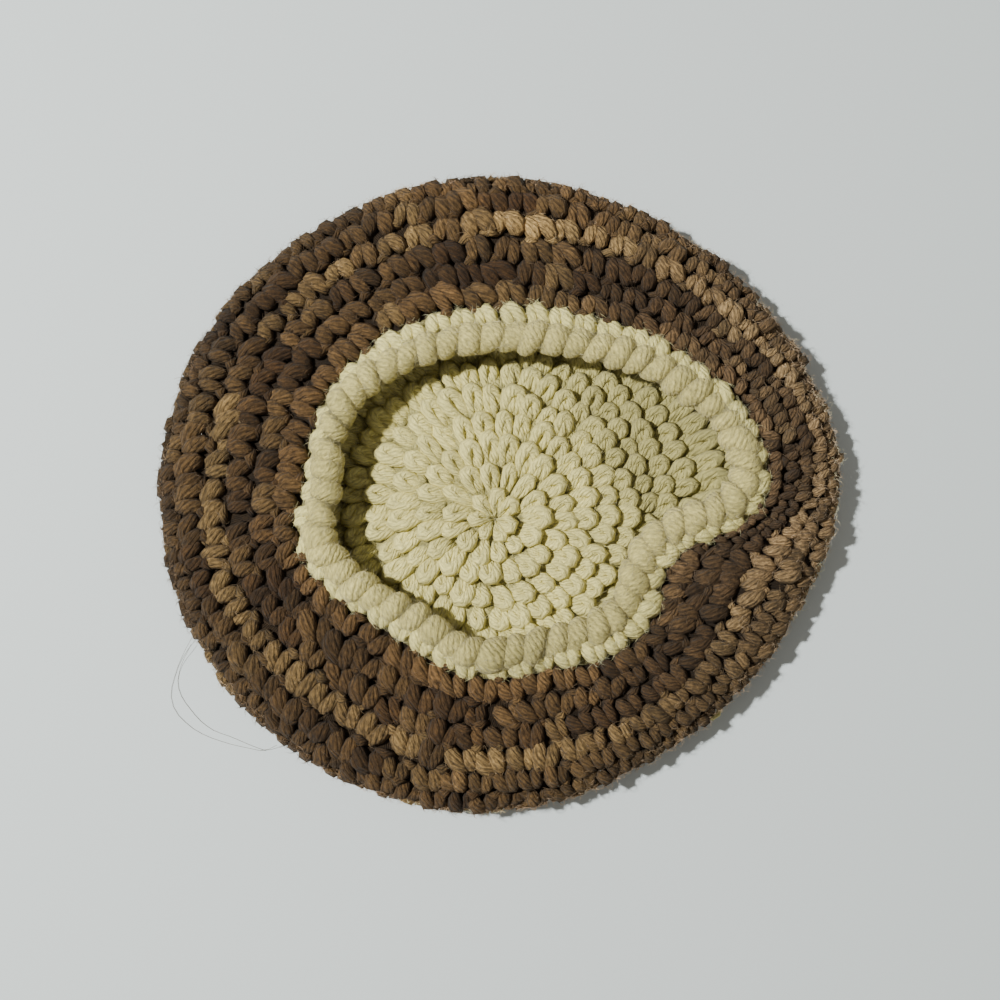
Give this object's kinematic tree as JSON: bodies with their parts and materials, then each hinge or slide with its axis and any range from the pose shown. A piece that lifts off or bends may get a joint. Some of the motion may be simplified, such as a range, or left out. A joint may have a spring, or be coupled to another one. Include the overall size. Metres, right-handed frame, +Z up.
{
  "type": "crocheted tam o shanter",
  "caption": "Soft round crocheted hat lying crown down: flat cream crown, mottled brown underside turned in at the edge, and a rolled cream band round the open head hole.",
  "frame": {"origin": "on the table, under the middle of the hat's bounding box", "axes": "+Z up, out of the opening; +X to the right and +Y to the back, so that the dent in the band lies towards +X and -Y"},
  "size_m": [0.2732, 0.2571, 0.0319],
  "materials": {
    "cream_yarn": "thick soft cream yarn with loose fibres",
    "brown_yarn": "thick soft yarn mottled from dark umber to khaki and reddish tan"
  },
  "bodies": {
    "root": {"crown": "cream_yarn", "edge_rounds": "brown_yarn", "turned_rounds": "brown_yarn", "underside": "brown_yarn", "collar_round": "cream_yarn", "rolled_band": "cream_yarn"}
  },
  "joints": []
}
